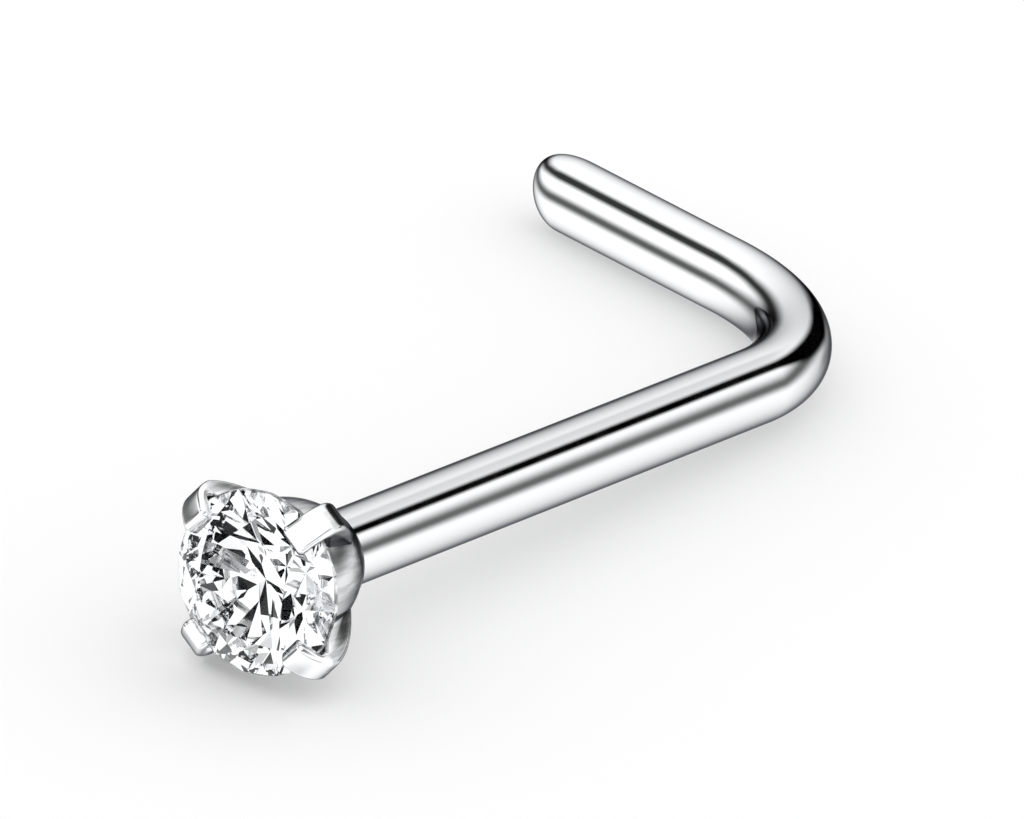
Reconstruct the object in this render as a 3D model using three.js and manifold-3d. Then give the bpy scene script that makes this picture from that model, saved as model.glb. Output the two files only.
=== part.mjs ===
// A nose stud: a round brilliant stone in a four-prong cup, on a wire post that is bent into an L.
// Millimetres, +Z up. The stud lies on its side on the plane z = 0, with the post along X and the
// stone facing -X. The origin is the middle of its footprint.

import * as THREE from "three";
import { mergeVertices } from "three/addons/utils/BufferGeometryUtils.js";
import Module from "manifold-3d";

const wasm = await Module();
wasm.setup();

// The wire: 22 gauge, with its straight lengths measured to where the two centrelines cross
const WIRE_DIAMETER = 0.64;
const POST_LENGTH = 7.7; // from the back of the setting
const TAIL_LENGTH = 3.72; // to the end of the tip
const BEND_RADIUS = 1.85; // of the centreline
const BEND_ANGLE = 100; // degrees, on the inside of the L
const TIP_LENGTH = 0.4; // of the polished round end
const TIP_LEAN = 0.1; // how far the round end leans off the centreline
const TIP_ROOT = 0.08; // how far the end reaches into the wire that carries it

// The stone: a round brilliant
const STONE_DIAMETER = 1.53;
const TABLE_DIAMETER = 0.88; // across the corners of the flat top
const GIRDLE_THICKNESS = 0.045;
const CROWN_ANGLE = 34.5; // degrees
const PAVILION_ANGLE = 40.8; // degrees
const STAR_REACH = 0.5; // share of the way from table to girdle
const LOWER_HALF_REACH = 0.78; // share of the way from girdle to point
const STONE_TURN = 14; // degrees, of the facets against the prongs

// The setting: a hollow cup with four prongs that fold over the stone's edge
const SETTING_DEPTH = 0.87; // from the middle of the girdle to the flat back
const RIM_INSET = 0.135; // how far the cup's side lies inside the girdle
const CUP_WALL = 0.12;
const CUP_FLOOR = 0.13;
const BACK_RADIUS = 0.42; // of the flat back
const SIDE_STRAIGHT = 0.6; // share of the side's depth over which it keeps its direction
const SIDE_TUCK_OUT = 0.55; // how far out and up the side is pulled before it meets the back,
const SIDE_TUCK_UP = 0.22; // as shares of its own width and depth
const PRONG_COUNT = 4;
const PRONG_TIP_WIDTH = 0.26;
const PRONG_FOOT_WIDTH = 0.34;
const PRONG_DEPTH = 0.64; // from the middle of the girdle to its foot in the cup's wall
const PRONG_STAND_OUT = 0.15; // past the girdle
const PRONG_TAPER = 0.07; // how far its outside has drawn in halfway down
const PRONG_COVER = 0.13; // thickness over the crown
const PRONG_ROUNDING = 0.18; // how far the rounding over its shoulder reaches
const PRONG_OVERLAP = 0.17; // how far it reaches in over the stone
const PRONG_EDGE = 0.045; // the softened edge
const HEAD_TURN = 10; // degrees, of the prongs about the post

const STONE_GAP = 0.012; // between the stone and its metal

// How finely round shapes are faceted
const WIRE_SIDES = 24;
const WIRE_STEPS = 72;
const CUP_SIDES = 64;
const CURVE_STEPS = 10;

const radians = THREE.MathUtils.degToRad;
const wireRadius = WIRE_DIAMETER / 2;
const stoneRadius = STONE_DIAMETER / 2;

// Solids and meshes

// A closed geometry as a solid that can be joined and cut.
function solidOf(geometry) {
  const bare = geometry.index ? geometry.toNonIndexed() : geometry.clone();
  bare.deleteAttribute("normal");
  bare.deleteAttribute("uv");
  const merged = mergeVertices(bare, 1e-5);
  const index = merged.index.array;
  const kept = [];
  for (let i = 0; i < index.length; i += 3) {
    const [a, b, c] = index.subarray(i, i + 3);
    if (a !== b && b !== c && c !== a) kept.push(a, b, c);
  }
  return new wasm.Manifold(
    new wasm.Mesh({
      numProp: 3,
      vertProperties: merged.attributes.position.array,
      triVerts: new Uint32Array(kept),
    }),
  );
}

// The surface of a solid as a geometry with flat faces.
function geometryOf(solid) {
  const mesh = solid.getMesh();
  const geometry = new THREE.BufferGeometry();
  geometry.setAttribute("position", new THREE.BufferAttribute(mesh.vertProperties, 3));
  geometry.setIndex(new THREE.BufferAttribute(mesh.triVerts, 1));
  const flat = geometry.toNonIndexed();
  flat.computeVertexNormals();
  return flat;
}

// The stone. Its middle is at the origin and it faces +Y.

// The planes of a ring of equal facets. Each leans by the same angle and passes through the point that
// lies at a radius and a height, at one end of the facet.
function facetRing(count, firstTurn, lean, radius, height, halfSpan, up) {
  const outward = Math.sin(lean);
  const along = Math.cos(lean);
  return Array.from({ length: count }, (_, i) => {
    const turn = firstTurn + (i * 2 * Math.PI) / count;
    const normal = new THREE.Vector3(
      outward * Math.cos(turn),
      up * along,
      outward * Math.sin(turn),
    );
    return { normal, reach: outward * radius * Math.cos(halfSpan) + along * height };
  });
}

// Every facet plane of the brilliant. The leans of the smaller facets follow from where they meet.
function facetPlanes() {
  const eighth = Math.PI / 4;
  const cosSixteenth = Math.cos(eighth / 2);
  const cosThirtySecond = Math.cos(eighth / 4);
  const edge = GIRDLE_THICKNESS / 2;
  const tableRadius = TABLE_DIAMETER / 2;
  const crownSlope = Math.tan(radians(CROWN_ANGLE));
  const pavilionSlope = Math.tan(radians(PAVILION_ANGLE));
  const tableHeight = edge + (stoneRadius - tableRadius) * crownSlope;

  const tableEdge = tableRadius * cosSixteenth;
  const starTip = tableEdge + STAR_REACH * (stoneRadius - tableEdge);
  const starTipRise = (stoneRadius - starTip * cosSixteenth) * crownSlope;
  const starLean = Math.atan((tableHeight - edge - starTipRise) / (starTip - tableEdge));
  const upperLean = Math.atan(starTipRise / ((stoneRadius - starTip) * cosThirtySecond));

  const lowerTip = (1 - LOWER_HALF_REACH) * stoneRadius;
  const lowerTipDrop = (stoneRadius - lowerTip * cosSixteenth) * pavilionSlope;
  const lowerLean = Math.atan(lowerTipDrop / ((stoneRadius - lowerTip) * cosThirtySecond));

  const half = eighth / 2;
  const quarter = eighth / 4;
  return [
    { normal: new THREE.Vector3(0, 1, 0), reach: tableHeight },
    ...facetRing(8, 0, radians(CROWN_ANGLE), stoneRadius, edge, 0, 1),
    ...facetRing(8, half, starLean, tableRadius, tableHeight, half, 1),
    ...facetRing(16, quarter, upperLean, stoneRadius, edge, quarter, 1),
    ...facetRing(16, quarter, lowerLean, stoneRadius, edge, quarter, -1),
    ...facetRing(8, 0, radians(PAVILION_ANGLE), stoneRadius, edge, 0, -1),
  ];
}

// The stone, or with a clearance the space that it needs.
function brilliant(clearance = 0) {
  const blank = new THREE.CylinderGeometry(
    stoneRadius + clearance,
    stoneRadius + clearance,
    2 * STONE_DIAMETER,
    CUP_SIDES,
  );
  return facetPlanes().reduce(
    (rough, { normal, reach }) =>
      rough.trimByPlane(normal.clone().negate().toArray(), -reach - clearance),
    solidOf(blank),
  );
}

// The setting, in the stone's frame, with its back at y = -SETTING_DEPTH

const rimRadius = stoneRadius - RIM_INSET;
const seatHeight = -GIRDLE_THICKNESS / 2;

// A curve from a height down to a floor: straight down at first, then rounding in to a radius there.
function sideCurve(topRadius, topHeight, floorRadius, floorHeight) {
  const drop = topHeight - floorHeight;
  return new THREE.CubicBezierCurve(
    new THREE.Vector2(topRadius, topHeight),
    new THREE.Vector2(topRadius, topHeight - SIDE_STRAIGHT * drop),
    new THREE.Vector2(
      floorRadius + SIDE_TUCK_OUT * (topRadius - floorRadius),
      floorHeight + SIDE_TUCK_UP * drop,
    ),
    new THREE.Vector2(floorRadius, floorHeight),
  ).getPoints(CURVE_STEPS);
}

// A solid turned from a side curve, up to its top.
function turnedBody(side) {
  const [top] = side;
  const floor = side[side.length - 1];
  const profile = [new THREE.Vector2(0, floor.y), ...side.reverse(), new THREE.Vector2(0, top.y)];
  return solidOf(new THREE.LatheGeometry(profile, CUP_SIDES));
}

function cup() {
  return turnedBody(sideCurve(rimRadius, seatHeight, BACK_RADIUS, -SETTING_DEPTH));
}

// The hollow under the stone.
function hollow() {
  const floorRadius = BACK_RADIUS - CUP_WALL / 2;
  return turnedBody(
    sideCurve(rimRadius - CUP_WALL, 0, floorRadius, CUP_FLOOR - SETTING_DEPTH),
  );
}

// The outline of a prong from its side: up from its foot past the girdle, and in over the crown.
function prongOutline() {
  const slope = radians(CROWN_ANGLE);
  const outer = stoneRadius + PRONG_STAND_OUT;
  const tip = stoneRadius - PRONG_OVERLAP;
  const edge = GIRDLE_THICKNESS / 2;
  const crownAtTip = edge + PRONG_OVERLAP * Math.tan(slope);
  const tipTop = new THREE.Vector2(
    tip + PRONG_COVER * Math.sin(slope),
    crownAtTip + PRONG_COVER * Math.cos(slope),
  );
  const corner = new THREE.Vector2(outer, tipTop.y - (outer - tipTop.x) * Math.tan(slope));
  const shoulder = corner.y - PRONG_ROUNDING;
  const foot = rimRadius - CUP_WALL;

  const outline = new THREE.Shape();
  outline.moveTo(foot, -PRONG_DEPTH);
  outline.quadraticCurveTo(outer - PRONG_TAPER, (shoulder - PRONG_DEPTH) / 2, outer, shoulder);
  outline.quadraticCurveTo(
    corner.x,
    corner.y,
    corner.x - PRONG_ROUNDING * Math.cos(slope),
    corner.y + PRONG_ROUNDING * Math.sin(slope),
  );
  outline.lineTo(tipTop.x, tipTop.y);
  outline.lineTo(tip, crownAtTip);
  outline.lineTo(tip, seatHeight);
  outline.closePath();
  return outline;
}

// A prong is at its narrowest over the crown, and widens from the girdle down to its foot.
function prong(turn) {
  const geometry = new THREE.ExtrudeGeometry(prongOutline(), {
    depth: PRONG_TIP_WIDTH - 2 * PRONG_EDGE,
    bevelSize: PRONG_EDGE,
    bevelThickness: PRONG_EDGE,
    bevelOffset: -PRONG_EDGE,
    bevelSegments: 2,
    curveSegments: CURVE_STEPS / 2,
  });
  geometry.translate(0, 0, PRONG_EDGE - PRONG_TIP_WIDTH / 2);
  const position = geometry.attributes.position;
  for (let i = 0; i < position.count; i += 1) {
    const depth = THREE.MathUtils.clamp(-position.getY(i) / PRONG_DEPTH, 0, 1);
    const width = THREE.MathUtils.lerp(PRONG_TIP_WIDTH, PRONG_FOOT_WIDTH, depth);
    position.setZ(i, (position.getZ(i) * width) / PRONG_TIP_WIDTH);
  }
  geometry.rotateY(turn);
  return solidOf(geometry);
}

// The wire, in the same frame: down the post along -Y, round the bend and out along the tail

const bendCorner = new THREE.Vector3(0, -SETTING_DEPTH - POST_LENGTH, 0);
const tailDirection = new THREE.Vector3(
  Math.sin(radians(BEND_ANGLE)),
  Math.cos(radians(BEND_ANGLE)),
  0,
);
const tailStraight = TAIL_LENGTH - TIP_LENGTH;

class BentWire extends THREE.Curve {
  constructor(start) {
    super();
    this.start = start;
    this.turn = Math.PI - radians(BEND_ANGLE);
    this.setback = BEND_RADIUS * Math.tan(this.turn / 2);
    this.postRun = start.y - bendCorner.y - this.setback;
    this.bendRun = BEND_RADIUS * this.turn;
    this.tailRun = tailStraight - this.setback;
  }

  getPoint(t, target = new THREE.Vector3()) {
    const run = t * (this.postRun + this.bendRun + this.tailRun);
    if (run <= this.postRun) return target.set(0, this.start.y - run, 0);
    const past = run - this.postRun - this.bendRun;
    if (past >= 0) {
      return target.copy(bendCorner).addScaledVector(tailDirection, this.setback + past);
    }
    const angle = (run - this.postRun) / BEND_RADIUS;
    return target.set(
      BEND_RADIUS * (1 - Math.cos(angle)),
      this.start.y - this.postRun - BEND_RADIUS * Math.sin(angle),
      0,
    );
  }
}

function wire() {
  const section = new THREE.Shape();
  section.absarc(0, 0, wireRadius, 0, 2 * Math.PI);
  const start = new THREE.Vector3(0, CUP_FLOOR / 2 - SETTING_DEPTH, 0);
  return solidOf(
    new THREE.ExtrudeGeometry(section, {
      extrudePath: new BentWire(start),
      steps: WIRE_STEPS,
      curveSegments: WIRE_SIDES / 2,
    }),
  );
}

// The polished round end of the tail. It leans towards +Z, so that its middle isn't its furthest point.
function tip() {
  const profile = [new THREE.Vector2(0, -TIP_ROOT), new THREE.Vector2(wireRadius, -TIP_ROOT)];
  for (let i = 0; i <= CURVE_STEPS; i += 1) {
    const angle = (i / CURVE_STEPS) * (Math.PI / 2);
    profile.push(
      new THREE.Vector2(wireRadius * Math.cos(angle), TIP_LENGTH * Math.sin(angle)),
    );
  }
  profile[profile.length - 1].x = 0;
  const geometry = new THREE.LatheGeometry(profile, WIRE_SIDES);
  const position = geometry.attributes.position;
  for (let i = 0; i < position.count; i += 1) {
    const rise = Math.max(position.getY(i), 0) / TIP_LENGTH;
    position.setZ(i, position.getZ(i) + TIP_LEAN * rise * rise);
  }
  const end = bendCorner.clone().addScaledVector(tailDirection, tailStraight);
  geometry.applyQuaternion(
    new THREE.Quaternion().setFromUnitVectors(new THREE.Vector3(0, 1, 0), tailDirection),
  );
  geometry.translate(end.x, end.y, end.z);
  return solidOf(geometry);
}

// The setting and the post are soldered, so they are one solid.
function postWithSetting(headTurn) {
  const prongs = Array.from({ length: PRONG_COUNT }, (_, i) =>
    prong(headTurn + ((i + 0.5) * 2 * Math.PI) / PRONG_COUNT),
  );
  const setting = prongs
    .reduce((joined, next) => joined.add(next), cup())
    .subtract(hollow())
    .subtract(turned(brilliant(STONE_GAP), headTurn));
  return setting.add(wire()).add(tip());
}

function turned(stone, headTurn) {
  return stone.rotate([0, THREE.MathUtils.radToDeg(headTurn) + STONE_TURN, 0]);
}

// The finished stud

const steel = new THREE.MeshStandardMaterial({
  color: 0xe4e5e7,
  roughness: 0.12,
  metalness: 1,
});
const crystal = new THREE.MeshStandardMaterial({
  color: 0xf4f8fb,
  roughness: 0.02,
  metalness: 0,
  transparent: true,
  opacity: 0.5,
});

function named(name, solid, material) {
  const mesh = new THREE.Mesh(geometryOf(solid), material);
  mesh.name = name;
  return mesh;
}

// How far the stud rolls about its tail before the head touches the ground that the tail lies on.
function restingTilt(meshes) {
  const across = new THREE.Vector3(-tailDirection.y, tailDirection.x, 0);
  const point = new THREE.Vector3();
  let tilt = 0;
  for (const { geometry } of meshes) {
    const position = geometry.attributes.position;
    for (let i = 0; i < position.count; i += 1) {
      point.fromBufferAttribute(position, i).sub(bendCorner);
      const away = point.dot(across);
      if (away > BEND_RADIUS) tilt = Math.max(tilt, Math.atan2(-point.z - wireRadius, away));
    }
  }
  return tilt;
}

const headTurn = radians(HEAD_TURN);
const meshes = [
  named("post_with_setting", postWithSetting(headTurn), steel),
  named("stone", turned(brilliant(), headTurn), crystal),
];

const tilted = new THREE.Group();
tilted.add(...meshes);
tilted.quaternion.setFromAxisAngle(tailDirection, restingTilt(meshes));

const lying = new THREE.Group();
lying.add(tilted);
lying.rotation.z = Math.PI / 2;
lying.updateMatrixWorld(true);

const box = new THREE.Box3().setFromObject(lying, true);
lying.position.set(-(box.min.x + box.max.x) / 2, -(box.min.y + box.max.y) / 2, -box.min.z);

const stud = new THREE.Group();
stud.add(lying);

export default stud;
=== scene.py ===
"""A nose stud, unworn, lying on a pale floor in soft studio light.

The stone stays as the frame holds it, and gets its crystal. The metal is made again with round, polished
surfaces, and stands in for the frame's faceted metal. Lengths are in metres, and those of the stud are
written as millimetres times MM.
"""

import math

import bmesh
import bpy
import numpy as np
from mathutils import Matrix, Vector


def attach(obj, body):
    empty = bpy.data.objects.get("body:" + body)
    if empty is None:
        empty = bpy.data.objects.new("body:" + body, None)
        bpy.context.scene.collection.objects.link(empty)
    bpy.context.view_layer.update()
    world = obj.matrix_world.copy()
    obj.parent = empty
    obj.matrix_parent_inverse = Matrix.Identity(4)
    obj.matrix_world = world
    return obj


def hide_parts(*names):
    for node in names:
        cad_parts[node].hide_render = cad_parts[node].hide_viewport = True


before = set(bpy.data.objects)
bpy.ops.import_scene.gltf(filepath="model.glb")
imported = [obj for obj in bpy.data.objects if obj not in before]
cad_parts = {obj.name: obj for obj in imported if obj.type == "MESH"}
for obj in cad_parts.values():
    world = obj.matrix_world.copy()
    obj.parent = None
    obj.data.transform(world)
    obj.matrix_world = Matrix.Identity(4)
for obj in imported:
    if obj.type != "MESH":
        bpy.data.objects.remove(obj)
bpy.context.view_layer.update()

MM = 0.001

# The wire
WIRE_RADIUS = 0.32 * MM
POST_LENGTH = 7.7 * MM
TAIL_LENGTH = 3.72 * MM
BEND_RADIUS = 1.85 * MM
BEND_ANGLE = math.radians(100)
TIP_LENGTH = 0.4 * MM
TIP_LEAN = 0.1 * MM

# The stone, which the setting follows
STONE_RADIUS = 0.765 * MM
GIRDLE_THICKNESS = 0.045 * MM
CROWN_SLOPE = math.radians(34.5)
PAVILION_SLOPE = math.radians(40.8)
STONE_GAP = 0.012 * MM

# The cup
SETTING_DEPTH = 0.87 * MM
RIM_RADIUS = 0.63 * MM
CUP_WALL = 0.12 * MM
CUP_FLOOR = 0.13 * MM
BACK_RADIUS = 0.42 * MM
SIDE_STRAIGHT = 0.6  # shares of the side's height and width that bend its curve
SIDE_TUCK_OUT = 0.55
SIDE_TUCK_UP = 0.22
CUP_EDGE = 0.012 * MM  # the rounding of its edges
FILLET = 0.03 * MM  # the solder between cup and post
RIM_ARC = (130, 0)  # degrees
BACK_ARC = (-35, -90)
FILLET_ARC = (90, 180)

# The prongs
PRONG_COUNT = 4
PRONG_TIP_WIDTH = 0.26 * MM
PRONG_FOOT_WIDTH = 0.34 * MM
PRONG_FOOT_DEPTH = 0.105 * MM  # from its outside in
PRONG_DEPTH = 0.64 * MM
PRONG_STAND_OUT = 0.15 * MM
PRONG_TAPER = 0.07 * MM
PRONG_COVER = 0.13 * MM
PRONG_ROUNDING = 0.18 * MM
PRONG_OVERLAP = 0.17 * MM
PRONG_EDGE = 0.042 * MM
PRONG_TIP_EDGE = 0.062 * MM  # more than PRONG_EDGE, or the drawn-in outline would cross itself
LEAST_MITRE = 0.6  # keeps sharp corners of a drawn-in outline from running away
HEAD_TURN = math.radians(10)

# How finely round surfaces are divided
RING_SIDES = 128
POST_STEPS = 39
BEND_STEPS = 72
TAIL_STEPS = 15
TIP_STEPS = 24
CURVE_STEPS = 24
EDGE_STEPS = 5
FLOOR_LOOPS = (0.2, 0.9)  # shares of the cup floor's radius


# Where the head is

NORMAL_DIGITS = 2  # triangles whose normals agree to these decimals are one facet
GIRDLE_SHARE = 0.995  # of the stone's radius, beyond which a point belongs to the girdle


def head_matrix():
    """The head's own axes in the frame: Y out of the stone's table, X and Y in the plane of the wire."""
    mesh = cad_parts["stone"].data
    areas = {}
    for face in mesh.polygons:
        key = tuple(round(c, NORMAL_DIGITS) for c in face.normal)
        total, summed = areas.get(key, (0.0, Vector()))
        areas[key] = (total + face.area, summed + face.normal * face.area)
    facing = max(areas.values(), key=lambda entry: entry[0])[1].normalized()
    tail = Vector((-math.cos(BEND_ANGLE), math.sin(BEND_ANGLE), 0))
    across = (tail - math.cos(BEND_ANGLE) * facing).normalized()
    across = (across - across.dot(facing) * facing).normalized()
    upright = across.cross(facing)

    points = np.array([v.co for v in mesh.vertices])
    along = points @ np.array(facing)
    sideways = [points @ np.array(axis) for axis in (across, upright)]
    middle = [float(side.max() + side.min()) / 2 for side in sideways]
    reach = np.hypot(sideways[0] - middle[0], sideways[1] - middle[1])
    girdle = along[reach > GIRDLE_SHARE * STONE_RADIUS]
    height = float(girdle.max() + girdle.min()) / 2
    matrix = Matrix((across, facing, upright)).transposed().to_4x4()
    matrix.translation = across * middle[0] + upright * middle[1] + facing * height
    return matrix


head = head_matrix()
outward = head.to_3x3().col[1].normalized()


# Meshes

def mesh_object(name, vertices, faces, turn=0.0):
    """A smooth, closed piece from points in the head's axes, turned about the post."""
    data = bpy.data.meshes.new(name)
    data.from_pydata([tuple(v) for v in vertices], [], faces)
    data.transform(head @ Matrix.Rotation(turn, 4, "Y"))
    data.validate()
    mesh = bmesh.new()
    mesh.from_mesh(data)
    bmesh.ops.recalc_face_normals(mesh, faces=mesh.faces)
    for face in mesh.faces:
        face.smooth = True
    mesh.to_mesh(data)
    mesh.free()
    made = bpy.data.objects.new(name, data)
    bpy.context.scene.collection.objects.link(made)
    return made


def arc(centre, radius, start, end):
    """Points on an arc, its angles in degrees."""
    angles = np.radians(np.linspace(start, end, EDGE_STEPS + 1)).tolist()
    return [(centre[0] + radius * math.cos(a), centre[1] + radius * math.sin(a)) for a in angles]


def bezier(points, steps):
    """Points on the Bezier curve that these control points draw."""
    points = [np.array(p, float) for p in points]
    order = len(points) - 1
    made = []
    for t in np.linspace(0, 1, steps + 1).tolist():
        weights = [math.comb(order, i) * t**i * (1 - t) ** (order - i) for i in range(order + 1)]
        made.append(tuple(float(c) for c in sum(w * p for w, p in zip(weights, points))))
    return made


# The metal body: cup, post, bend, tail and tip, as rings along one line

def side_curve(top_radius, top, bottom_radius, bottom):
    """The cup's side, straight down at first, then rounding in, as (radius, height)."""
    drop = top - bottom
    return bezier(
        [
            (top_radius, top),
            (top_radius, top - SIDE_STRAIGHT * drop),
            (bottom_radius + SIDE_TUCK_OUT * (top_radius - bottom_radius), bottom + SIDE_TUCK_UP * drop),
            (bottom_radius, bottom),
        ],
        CURVE_STEPS,
    )


def seat_height(radius):
    """How high the conical seat under the stone lies at a radius."""
    gap = STONE_GAP / math.cos(PAVILION_SLOPE)
    return -GIRDLE_THICKNESS / 2 - (STONE_RADIUS - radius) * math.tan(PAVILION_SLOPE) - gap


def cup_inside():
    """(radius, height) from near the middle of the cup's floor, up its wall to the seat."""
    radius = RIM_RADIUS - CUP_WALL
    top = seat_height(radius)
    wall = [
        (r, h)
        for r, h in side_curve(radius, 0, BACK_RADIUS - CUP_WALL / 2, CUP_FLOOR - SETTING_DEPTH)
        if h < top
    ]
    floor_radius, floor_height = wall[-1]
    loops = [(share * floor_radius, floor_height) for share in FLOOR_LOOPS]
    seat = [(radius, top), (radius + CUP_EDGE, seat_height(radius + CUP_EDGE))]
    return loops + wall[::-1] + seat


def cup_outside():
    """(radius, height) over the cup's rim, down its side and across its back to the post."""
    rim_start = seat_height(RIM_RADIUS) - CUP_EDGE
    back_start = CUP_EDGE - SETTING_DEPTH
    side = [
        (r, h)
        for r, h in side_curve(RIM_RADIUS, -GIRDLE_THICKNESS / 2, BACK_RADIUS, -SETTING_DEPTH)
        if rim_start > h > back_start
    ]
    rim = arc((RIM_RADIUS - CUP_EDGE, rim_start), CUP_EDGE, *RIM_ARC)
    back_edge = arc((side[-1][0] - CUP_EDGE, back_start), CUP_EDGE, *BACK_ARC)
    fillet = arc((WIRE_RADIUS + FILLET, -SETTING_DEPTH - FILLET), FILLET, *FILLET_ARC)
    back = [
        (back_edge[-1][0] - CUP_EDGE, -SETTING_DEPTH),
        (fillet[0][0] + CUP_EDGE, -SETTING_DEPTH),
    ]
    return rim + side + back_edge + back + fillet


def cup_rings():
    """Rings about the post's line: (centre, first axis, radius)."""
    return [(Vector((0, h, 0)), Vector((1, 0, 0)), r) for r, h in cup_inside() + cup_outside()]


def wire_rings():
    """Rings from the cup's back to the end of the tail, and the tail's last point."""
    turn = math.pi - BEND_ANGLE
    setback = BEND_RADIUS * math.tan(turn / 2)
    corner = Vector((0, -SETTING_DEPTH - POST_LENGTH, 0))
    tail = Vector((math.sin(BEND_ANGLE), math.cos(BEND_ANGLE), 0))
    rings = []
    start = -SETTING_DEPTH - 2 * FILLET
    for y in np.linspace(start, corner.y + setback, POST_STEPS + 1).tolist()[:-1]:
        rings.append((Vector((0, y, 0)), Vector((1, 0, 0)), WIRE_RADIUS))
    hub = corner + Vector((BEND_RADIUS, setback, 0))
    for angle in np.linspace(0, turn, BEND_STEPS + 1).tolist():
        away = Vector((-math.cos(angle), -math.sin(angle), 0))
        rings.append((hub + away * BEND_RADIUS, -away, WIRE_RADIUS))
    inward = rings[-1][1]
    for run in np.linspace(setback, TAIL_LENGTH - TIP_LENGTH, TAIL_STEPS + 1).tolist()[1:]:
        rings.append((corner + tail * run, inward, WIRE_RADIUS))
    end = rings[-1][0]
    for angle in np.linspace(0, math.pi / 2, TIP_STEPS + 1).tolist()[1:-1]:
        rise = math.sin(angle)
        centre = end + tail * TIP_LENGTH * rise + Vector((0, 0, TIP_LEAN * rise * rise))
        rings.append((centre, inward, WIRE_RADIUS * math.cos(angle)))
    apex = end + tail * TIP_LENGTH + Vector((0, 0, TIP_LEAN))
    return rings, apex


def metal_body():
    """One skin over all the rings, closed at the cup's floor and at the tail's tip."""
    wire, apex = wire_rings()
    rings = cup_rings() + wire
    upright = Vector((0, 0, 1))
    vertices = []
    for centre, first, radius in rings:
        for i in range(RING_SIDES):
            angle = 2 * math.pi * i / RING_SIDES
            vertices.append(centre + radius * (math.cos(angle) * first + math.sin(angle) * upright))
    last_ring = len(vertices) - RING_SIDES
    floor_middle = len(vertices)
    vertices += [rings[0][0], apex]
    faces = []
    for low in range(0, last_ring, RING_SIDES):
        high = low + RING_SIDES
        for i in range(RING_SIDES):
            j = (i + 1) % RING_SIDES
            faces.append((low + i, low + j, high + j, high + i))
    for i in range(RING_SIDES):
        j = (i + 1) % RING_SIDES
        faces.append((floor_middle, j, i))
        faces.append((last_ring + i, last_ring + j, floor_middle + 1))
    return mesh_object("post_and_cup", vertices, faces)


# The prongs

def prong_outline():
    """The prong from its side, as (radius, height), from its foot round its outside to the tip and back."""
    outer = STONE_RADIUS + PRONG_STAND_OUT
    tip = STONE_RADIUS - PRONG_OVERLAP
    crown_gap = STONE_GAP / math.cos(CROWN_SLOPE)
    edge = GIRDLE_THICKNESS / 2
    crown_at_tip = edge + PRONG_OVERLAP * math.tan(CROWN_SLOPE)
    along, off = math.cos(CROWN_SLOPE), math.sin(CROWN_SLOPE)
    tip_top = (tip + PRONG_COVER * off, crown_at_tip + PRONG_COVER * along)
    corner = (outer, tip_top[1] - (outer - tip_top[0]) * math.tan(CROWN_SLOPE))
    shoulder = corner[1] - PRONG_ROUNDING
    foot = RIM_RADIUS - CUP_WALL
    belly = bezier(
        [(foot, -PRONG_DEPTH), (outer - PRONG_TAPER, (shoulder - PRONG_DEPTH) / 2), (outer, shoulder)],
        CURVE_STEPS,
    )
    rounding = bezier(
        [
            (outer, shoulder),
            corner,
            (corner[0] - PRONG_ROUNDING * along, corner[1] + PRONG_ROUNDING * off),
        ],
        CURVE_STEPS // 2,
    )
    tip_edge = bezier(
        [
            (tip_top[0] + PRONG_TIP_EDGE * along, tip_top[1] - PRONG_TIP_EDGE * off),
            tip_top,
            (tip_top[0] - PRONG_TIP_EDGE * off, tip_top[1] - PRONG_TIP_EDGE * along),
        ],
        EDGE_STEPS,
    )
    wall = STONE_RADIUS + STONE_GAP
    mid_rim = RIM_RADIUS - CUP_WALL / 2
    inside = [
        (tip, crown_at_tip + crown_gap),
        (wall, edge + crown_gap),
        (wall, -edge - crown_gap),
        (mid_rim, seat_height(mid_rim) - CUP_EDGE),
        (foot - PRONG_FOOT_DEPTH, -PRONG_DEPTH),
    ]
    return belly + rounding[1:] + tip_edge + inside


def inset(outline, depth):
    """The outline with every side moved in by a depth."""
    points = np.array(outline)
    sides = np.roll(points, -1, axis=0) - points
    sides /= np.linalg.norm(sides, axis=1)[:, None]
    inward = np.stack([-sides[:, 1], sides[:, 0]], axis=1)
    before = np.roll(inward, 1, axis=0)
    mitre = 1 + np.sum(before * inward, axis=1)[:, None]
    corner = (before + inward) / np.maximum(mitre, LEAST_MITRE)
    return (points + depth * corner).tolist()


def prong_width(height):
    """Narrowest over the crown, and wider from the girdle down to the foot."""
    depth = min(max(-height / PRONG_DEPTH, 0), 1)
    return PRONG_TIP_WIDTH + (PRONG_FOOT_WIDTH - PRONG_TIP_WIDTH) * depth


def prong_layers():
    """Where each layer lies sideways and how far it is drawn in, so that both flanks' edges are round."""
    half = PRONG_TIP_WIDTH / 2
    roll = [math.pi / 2 * i / EDGE_STEPS for i in range(EDGE_STEPS + 1)]
    near = [(PRONG_EDGE * (1 - math.sin(a)) - half, PRONG_EDGE * (1 - math.cos(a))) for a in roll[::-1]]
    return near + [(-side, depth) for side, depth in near[::-1]]


def prong(number):
    """Layers of one outline, skinned and closed at both flanks."""
    outline = prong_outline()
    vertices = [
        (x, y, side * prong_width(y) / PRONG_TIP_WIDTH)
        for side, depth in prong_layers()
        for x, y in inset(outline, depth)
    ]
    count = len(outline)
    last_layer = len(vertices) - count
    faces = [tuple(range(count)), tuple(range(last_layer, len(vertices)))[::-1]]
    for low in range(0, last_layer, count):
        high = low + count
        for i in range(count):
            j = (i + 1) % count
            faces.append((low + i, high + i, high + j, low + j))
    turn = HEAD_TURN + (number + 0.5) * 2 * math.pi / PRONG_COUNT
    made = mesh_object(f"prong_{number + 1}", vertices, faces, turn)
    made.modifiers.new("weighted normals", "WEIGHTED_NORMAL").keep_sharp = True
    return made


# Shader nodes

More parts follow.
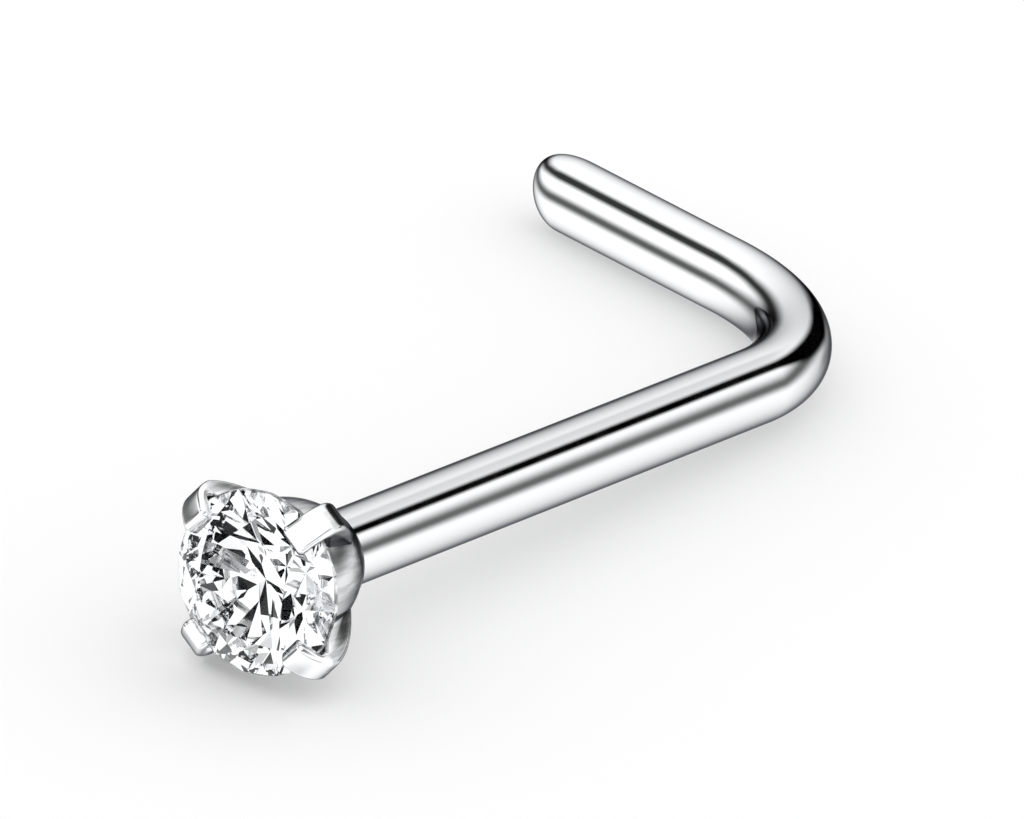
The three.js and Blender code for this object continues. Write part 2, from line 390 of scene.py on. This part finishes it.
class Graph:
    """Short ways to add shader nodes to one tree. Most return the new node's output."""

    def __init__(self, tree):
        self.tree = tree
        tree.nodes.clear()

    def node(self, kind, **values):
        made = self.tree.nodes.new(kind)
        for name, value in values.items():
            setattr(made, name, value)
        return made

    def feed(self, target, value):
        if isinstance(value, bpy.types.NodeSocket):
            self.tree.links.new(value, target)
        else:
            target.default_value = value

    def shader(self, kind, inputs):
        made = self.node(kind)
        for name, value in inputs.items():
            self.feed(made.inputs[name], value)
        return made.outputs[0]

    def show(self, surface, kind="ShaderNodeOutputMaterial"):
        self.feed(self.node(kind).inputs["Surface"], surface)

    def math(self, operation, *values, clamp=False):
        made = self.node("ShaderNodeMath", operation=operation, use_clamp=clamp)
        for target, value in zip(made.inputs, values):
            self.feed(target, value)
        return made.outputs[0]

    def vector(self, operation, *values, output=0):
        made = self.node("ShaderNodeVectorMath", operation=operation)
        for target, value in zip(made.inputs, values):
            self.feed(target, value)
        return made.outputs[output]

    def dot(self, vector, fixed):
        return self.vector("DOT_PRODUCT", vector, tuple(fixed), output=1)

    def scaled(self, fixed, share):
        made = self.node("ShaderNodeVectorMath", operation="SCALE")
        made.inputs[0].default_value = tuple(fixed)
        self.feed(made.inputs["Scale"], share)
        return made.outputs[0]

    def noise(self, point, scale, detail):
        made = self.node("ShaderNodeTexNoise")
        self.feed(made.inputs["Vector"], point)
        self.feed(made.inputs["Scale"], scale)
        self.feed(made.inputs["Detail"], detail)
        return made.outputs["Fac"]

    def ranged(self, value, low, high, to_low, to_high):
        made = self.node("ShaderNodeMapRange", interpolation_type="SMOOTHSTEP")
        for target, given in zip(made.inputs, (value, low, high, to_low, to_high)):
            self.feed(target, given)
        return made.outputs[0]

    def mixed(self, share, first, second):
        made = self.node("ShaderNodeMix", data_type="FLOAT")
        number_inputs = made.inputs[:1] + made.inputs[2:4]
        for target, given in zip(number_inputs, (share, first, second)):
            self.feed(target, given)
        return made.outputs[0]

    def colour(self, *channels):
        made = self.node("ShaderNodeCombineColor")
        for target, channel in zip(made.inputs, channels):
            self.feed(target, channel)
        return made.outputs[0]

    def either(self, share, first, second):
        made = self.node("ShaderNodeMixShader")
        for target, given in zip(made.inputs, (share, first, second)):
            self.feed(target, given)
        return made.outputs[0]


# Materials. A scale is in cells of noise to the metre, and a spread is the part of the noise that counts.

STEEL_SHINE = 0.93
STEEL_TINT = (0.994, 1.0, 1.01)
STEEL_EDGE = (0.1, 0.1, 0.11, 1)  # its colour at a grazing angle
WIRE_ROUGHNESS = (0.035, 0.08)
CAST_ROUGHNESS = (0.1, 0.2)
# painted shade: the cast setting's colour below the crown, darker than the wire's and streaked
CAST_SHINE_AND_PAINTED_SHADE = (0.58, 0.86)
HAZE_SCALE = 2600
HAZE_DETAIL = 4
HAZE_SPREAD = (0.3, 0.75)
STREAK_SCALE = 16000
STREAK_DETAIL = 2
STREAK_SPREAD = (0.3, 0.7)
STREAK_STRETCH = 0.93  # share of the way along the post that the streaks leave out
RIPPLE_SCALE = 9000
RIPPLE_DETAIL = 2
RIPPLE_SHARE = 0.35
RELIEF_STRENGTH = 0.3
RELIEF_HEIGHT = 0.002 * MM

CRYSTAL_IOR = 2.16
CRYSTAL_CLEARNESS = 0.99
CRYSTAL_GLOSS = (0.06, 0.062, 0.066, 1)
GIRDLE_END = (0.45, 0.52)  # where it turns into facets, as shares of its thickness
GIRDLE_ROUGHNESS = (0.096, 0.16)
SPECK_SCALE = 30000
SPECK_DETAIL = 3
SPECK_SPREAD = (0.4, 0.7)
# painted shade: how dark the dashes painted into the girdle's colour are
GIRDLE_PAINTED_SHADE = (0.08, 0.8)
PAINTED_SHADE_DASH_SCALE = 5000
PAINTED_SHADE_DASH_DETAIL = 1
PAINTED_SHADE_DASH_SPREAD = (0.42, 0.58)
FOIL_COLOUR = (0.97, 0.975, 0.98, 1)

FLOOR_COLOUR = (0.9, 0.9, 0.9, 1)
FLOOR_ROUGHNESS = 0.8


def new_material(name):
    """A material, and the graph of its empty node tree."""
    material = bpy.data.materials.new(name)
    material.use_nodes = True
    return material, Graph(material.node_tree)


def place(graph):
    """The point that is shaded, and how far it lies in front of the girdle."""
    point = graph.node("ShaderNodeTexCoord").outputs["Object"]
    offset = graph.vector("SUBTRACT", point, tuple(head.translation))
    return point, graph.dot(offset, outward)


def steel_material():
    """Mirror-polished wire, and a cast setting that is a little softer, streaked along the post, and
    darkened below the crown with painted shade.
    """
    material, graph = new_material("polished_steel")
    point, height = place(graph)
    setting = graph.ranged(height, -SETTING_DEPTH - CUP_EDGE, -SETTING_DEPTH + CUP_EDGE, 0, 1)
    painted_shade_below_crown = graph.ranged(height, -GIRDLE_THICKNESS, 0, 1, 0)
    haze = graph.noise(point, HAZE_SCALE, HAZE_DETAIL)
    wire_haze = graph.ranged(haze, *HAZE_SPREAD, *WIRE_ROUGHNESS)
    cast_haze = graph.ranged(haze, *HAZE_SPREAD, *CAST_ROUGHNESS)

    along = graph.scaled(outward, graph.math("MULTIPLY", height, -STREAK_STRETCH))
    streaks = graph.noise(graph.vector("ADD", point, along), STREAK_SCALE, STREAK_DETAIL)
    ripple = graph.math("MULTIPLY", graph.noise(point, RIPPLE_SCALE, RIPPLE_DETAIL), RIPPLE_SHARE)
    # The streaks are the cast finish; the darker tone of the setting under the crown is painted shade.
    cast_streaks_and_painted_shade = graph.ranged(streaks, *STREAK_SPREAD, *CAST_SHINE_AND_PAINTED_SHADE)
    shine = graph.mixed(graph.math("MULTIPLY", setting, painted_shade_below_crown), STEEL_SHINE, cast_streaks_and_painted_shade)
    relief = {
        "Strength": RELIEF_STRENGTH,
        "Distance": RELIEF_HEIGHT,
        "Height": graph.mixed(setting, ripple, streaks),
    }
    steel = {
        "Base Color": graph.colour(*(graph.math("MULTIPLY", shine, share) for share in STEEL_TINT)),
        "Metallic": 1,
        "Specular Tint": STEEL_EDGE,
        "Roughness": graph.mixed(setting, wire_haze, cast_haze),
        "Normal": graph.shader("ShaderNodeBump", relief),
    }
    graph.show(graph.shader("ShaderNodeBsdfPrincipled", steel))
    return material


def crystal_material():
    """Clear cut crystal with a ground girdle, darkened in dashes with painted shade. Its back facets are
    foiled, as in a closed setting.
    """
    material, graph = new_material("cut_crystal")
    point, height = place(graph)
    ends = [share * GIRDLE_THICKNESS for share in GIRDLE_END]
    girdle = graph.ranged(graph.math("ABSOLUTE", height), *ends, 1, 0)
    speck = graph.ranged(graph.noise(point, SPECK_SCALE, SPECK_DETAIL), *SPECK_SPREAD, *GIRDLE_ROUGHNESS)
    # painted shade: dark dashes put into the girdle's colour
    painted_shade_dashes = graph.ranged(graph.noise(point, PAINTED_SHADE_DASH_SCALE, PAINTED_SHADE_DASH_DETAIL), *PAINTED_SHADE_DASH_SPREAD, *GIRDLE_PAINTED_SHADE)
    clearness_and_painted_shade = graph.mixed(girdle, CRYSTAL_CLEARNESS, painted_shade_dashes)
    crystal = {
        "Base Color": graph.colour(clearness_and_painted_shade, clearness_and_painted_shade, clearness_and_painted_shade),
        "Transmission Weight": 1,
        "IOR": CRYSTAL_IOR,
        "Specular Tint": CRYSTAL_GLOSS,
        "Roughness": graph.math("MULTIPLY", girdle, speck),
    }
    foil = {"Color": FOIL_COLOUR, "Roughness": 0}
    graph.show(
        graph.either(
            graph.math("LESS_THAN", height, -ends[1]),
            graph.shader("ShaderNodeBsdfPrincipled", crystal),
            graph.shader("ShaderNodeBsdfAnisotropic", foil),
        )
    )
    return material


def floor_material():
    """Matt, nearly white paint."""
    material, graph = new_material("pale_floor")
    paint = {"Base Color": FLOOR_COLOUR, "Roughness": FLOOR_ROUGHNESS, "Specular IOR Level": 0}
    graph.show(graph.shader("ShaderNodeBsdfPrincipled", paint))
    return material


# The studio: a white dome with soft dark cards and stars, placed by azimuth and elevation in degrees

DOME = 1.48  # as the metal and the stone see it
FLOOR_LIGHT = 1.4  # as it falls on the floor
CARDS = [
    # stops of azimuth, elevation and radius; softness; darkness
    (((-13, 32, 7), (-3, 17, 12), (10, 5, 11), (18, -3, 6), (28, -18, 2)), 8, 1.0),
    (((-37, 6, 9), (-18, 11, 9), (-5, 12, 9)), 16, 0.87),
    (((0, -12, 4), (22, -21, 4)), 12, 0.45),
    (((4, 37, 5), (14, 34, 5)), 9, 0.3),
    (
        ((38, -20, 2), (44, -10, 5), (52, 2, 9), (65, 14, 8), (80, 25, 8), (95, 38, 9), (106, 47, 11)),
        14,
        0.97,
    ),
    (((48, -4, 8), (75, -4, 8), (105, -3, 9), (132, 0, 11)), 18, 0.9),
    (((222, 10, 7), (242, 22, 8), (268, 38, 7), (296, 44, 6)), 10, 0.9),
    (((200, -72, 10),), 26, 0.5),
    (((136, 30, 5), (148, 44, 7), (160, 58, 6)), 10, 0.9),
    (((215, -24, 4), (238, -25, 6), (265, -18, 6)), 10, 0.8),
]
STARS = [
    # azimuth, elevation, inner and outer reach, half width of a strip, strips, phase of the strips
    (212, 24, 9, 27, 1.5, 7, 20),
    (180, 3, 20, 43, 1.8, 9, 0),
    (214, -14, 4, 26, 1.6, 9, 10),
    (184, 25, 3, 20, 1.5, 9, 30),
]
STRIP_SOFTNESS = 0.3  # of its half width
LIGHT_TURNS = 24  # a cut stone turns light round many times
MIRROR_TURNS = 16
FLOOR_REACH = 1.5  # metres from its middle to each side


def aim(azimuth, elevation):
    """The unit vector of a direction."""
    a, e = math.radians(azimuth), math.radians(elevation)
    return Vector((math.cos(a) * math.cos(e), math.sin(a) * math.cos(e), math.sin(e)))


def past_stroke(graph, direction, start, end):
    """How far a direction lies outside a stroke between two stops."""
    a, b = aim(*start[:2]), aim(*end[:2])
    offset = graph.vector("SUBTRACT", direction, tuple(a))
    run = b - a
    if run.length == 0:
        away = graph.vector("LENGTH", offset, output=1)
        return graph.math("SUBTRACT", away, math.radians(start[2]))
    share = graph.math("MULTIPLY", graph.dot(offset, run), 1 / run.length_squared, clamp=True)
    away = graph.vector("DISTANCE", offset, graph.scaled(run, share), output=1)
    radius = graph.math("MULTIPLY_ADD", share, math.radians(end[2] - start[2]), math.radians(start[2]))
    return graph.math("SUBTRACT", away, radius)


def card_light(graph, direction, stops, softness, darkness):
    """1 away from a card and 1 - darkness on it."""
    ends = stops[1:] or stops
    past = [past_stroke(graph, direction, a, b) for a, b in zip(stops, ends)]
    nearest = past[0]
    for other in past[1:]:
        nearest = graph.math("MINIMUM", nearest, other)
    half = math.radians(softness) / 2
    return graph.ranged(nearest, -half, half, 1 - darkness, 1)


def star_light(graph, direction, azimuth, elevation, inner, outer, half_width, count, phase):
    """1 between the dark strips of a star, and 0 on them. They make the stone sparkle."""
    middle = aim(azimuth, elevation)
    sideways = middle.cross(Vector((0, 0, 1))).normalized()
    ahead, right, high = (graph.dot(direction, axis) for axis in (middle, sideways, sideways.cross(middle)))
    round_middle = graph.math("ARCTAN2", high, right)
    angle = graph.math("MULTIPLY_ADD", round_middle, count / 2, math.radians(phase))
    spoke = graph.math("ABSOLUTE", graph.math("SINE", angle))
    off = graph.math("SQRT", graph.math("SUBTRACT", 1.0, graph.math("MULTIPLY", ahead, ahead), clamp=True))
    away = graph.math("MULTIPLY", graph.math("MULTIPLY", spoke, off), 2 / count)
    half = math.radians(half_width)
    clear = graph.ranged(away, (1 - STRIP_SOFTNESS) * half, (1 + STRIP_SOFTNESS) * half, 0, 1)
    near, far = math.cos(math.radians(inner)), math.cos(math.radians(outer))
    beyond = graph.ranged(ahead, far, far + half / 2, 1, 0)
    within = graph.ranged(ahead, near - half / 4, near, 0, 1)
    return graph.math("MAXIMUM", clear, graph.math("MAXIMUM", beyond, within))


def studio():
    """Mirror rays see the cards, rays through the stone see the stars, and the floor gets even light."""
    world = bpy.data.worlds.new("studio")
    bpy.context.scene.world = world
    world.use_nodes = True
    graph = Graph(world.node_tree)
    direction = graph.node("ShaderNodeTexCoord").outputs["Generated"]
    mirrored = DOME
    for card in CARDS:
        mirrored = graph.math("MULTIPLY", card_light(graph, direction, *card), mirrored)
    refracted = DOME
    for star in STARS:
        refracted = graph.math("MULTIPLY", star_light(graph, direction, *star), refracted)
    even, cards, stars = (
        graph.shader("ShaderNodeBackground", {"Strength": strength})
        for strength in (FLOOR_LIGHT, mirrored, refracted)
    )
    path = graph.node("ShaderNodeLightPath").outputs
    shown = graph.either(path["Is Glossy Ray"], even, cards)
    shown = graph.either(path["Is Transmission Ray"], shown, stars)
    graph.show(shown, "ShaderNodeOutputWorld")

    scene = bpy.context.scene
    scene.view_settings.view_transform = "Standard"
    scene.cycles.max_bounces = LIGHT_TURNS
    scene.cycles.transmission_bounces = LIGHT_TURNS
    scene.cycles.glossy_bounces = MIRROR_TURNS


def floor():
    """A plain floor that the metal and the stone don't mirror."""
    data = bpy.data.meshes.new("floor")
    corners = [(x * FLOOR_REACH, y * FLOOR_REACH, 0) for x, y in ((-1, -1), (1, -1), (1, 1), (-1, 1))]
    data.from_pydata(corners, [], [(0, 1, 2, 3)])
    data.materials.append(floor_material())
    made = bpy.data.objects.new("floor", data)
    bpy.context.scene.collection.objects.link(made)
    made.visible_glossy = False
    made.visible_transmission = False


# The camera, matched to the photograph

IMAGE_WIDTH = 1024
IMAGE_HEIGHT = 819
PIXELS_PER_METRE = 124.06 / MM
GIRDLE_PIXEL = (261.3, 580.1)  # where the photograph shows the middle of the girdle
CAMERA_RIGHT = Vector((0.5749, -0.8101, 0.1153))
CAMERA_BACK = Vector((-0.771, -0.489, 0.408))
LENS = 1200  # in millimetres, as the sensor's width is
SENSOR = 36
CLIP = (0.01, 10)  # the nearest and the farthest that it sees, in metres
MIDDLE_DEPTH = -3.4 * MM  # of the stud, from the girdle


def camera():
    """A long lens, because the photograph shows almost no perspective."""
    right = CAMERA_RIGHT.normalized()
    back = (CAMERA_BACK - CAMERA_BACK.dot(right) * right).normalized()
    up = back.cross(right)
    aside = (IMAGE_WIDTH / 2 - GIRDLE_PIXEL[0]) / PIXELS_PER_METRE
    above = (GIRDLE_PIXEL[1] - IMAGE_HEIGHT / 2) / PIXELS_PER_METRE
    distance = LENS / SENSOR * IMAGE_WIDTH / PIXELS_PER_METRE
    target = head.translation + right * aside + up * above + back * MIDDLE_DEPTH
    data = bpy.data.cameras.new("camera")
    data.lens = LENS
    data.sensor_width = SENSOR
    data.clip_start, data.clip_end = CLIP
    made = bpy.data.objects.new("camera", data)
    matrix = Matrix((right, up, back)).transposed().to_4x4()
    matrix.translation = target + back * distance
    made.matrix_world = matrix
    bpy.context.scene.collection.objects.link(made)
    bpy.context.scene.camera = made


# Put together

camera()
studio()
floor()

steel = steel_material()
for piece in [metal_body(), *(prong(i) for i in range(PRONG_COUNT))]:
    piece.data.materials.append(steel)
    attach(piece, "root")
    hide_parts("post_with_setting")

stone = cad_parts["stone"]
stone.data.materials.clear()
stone.data.materials.append(crystal_material())
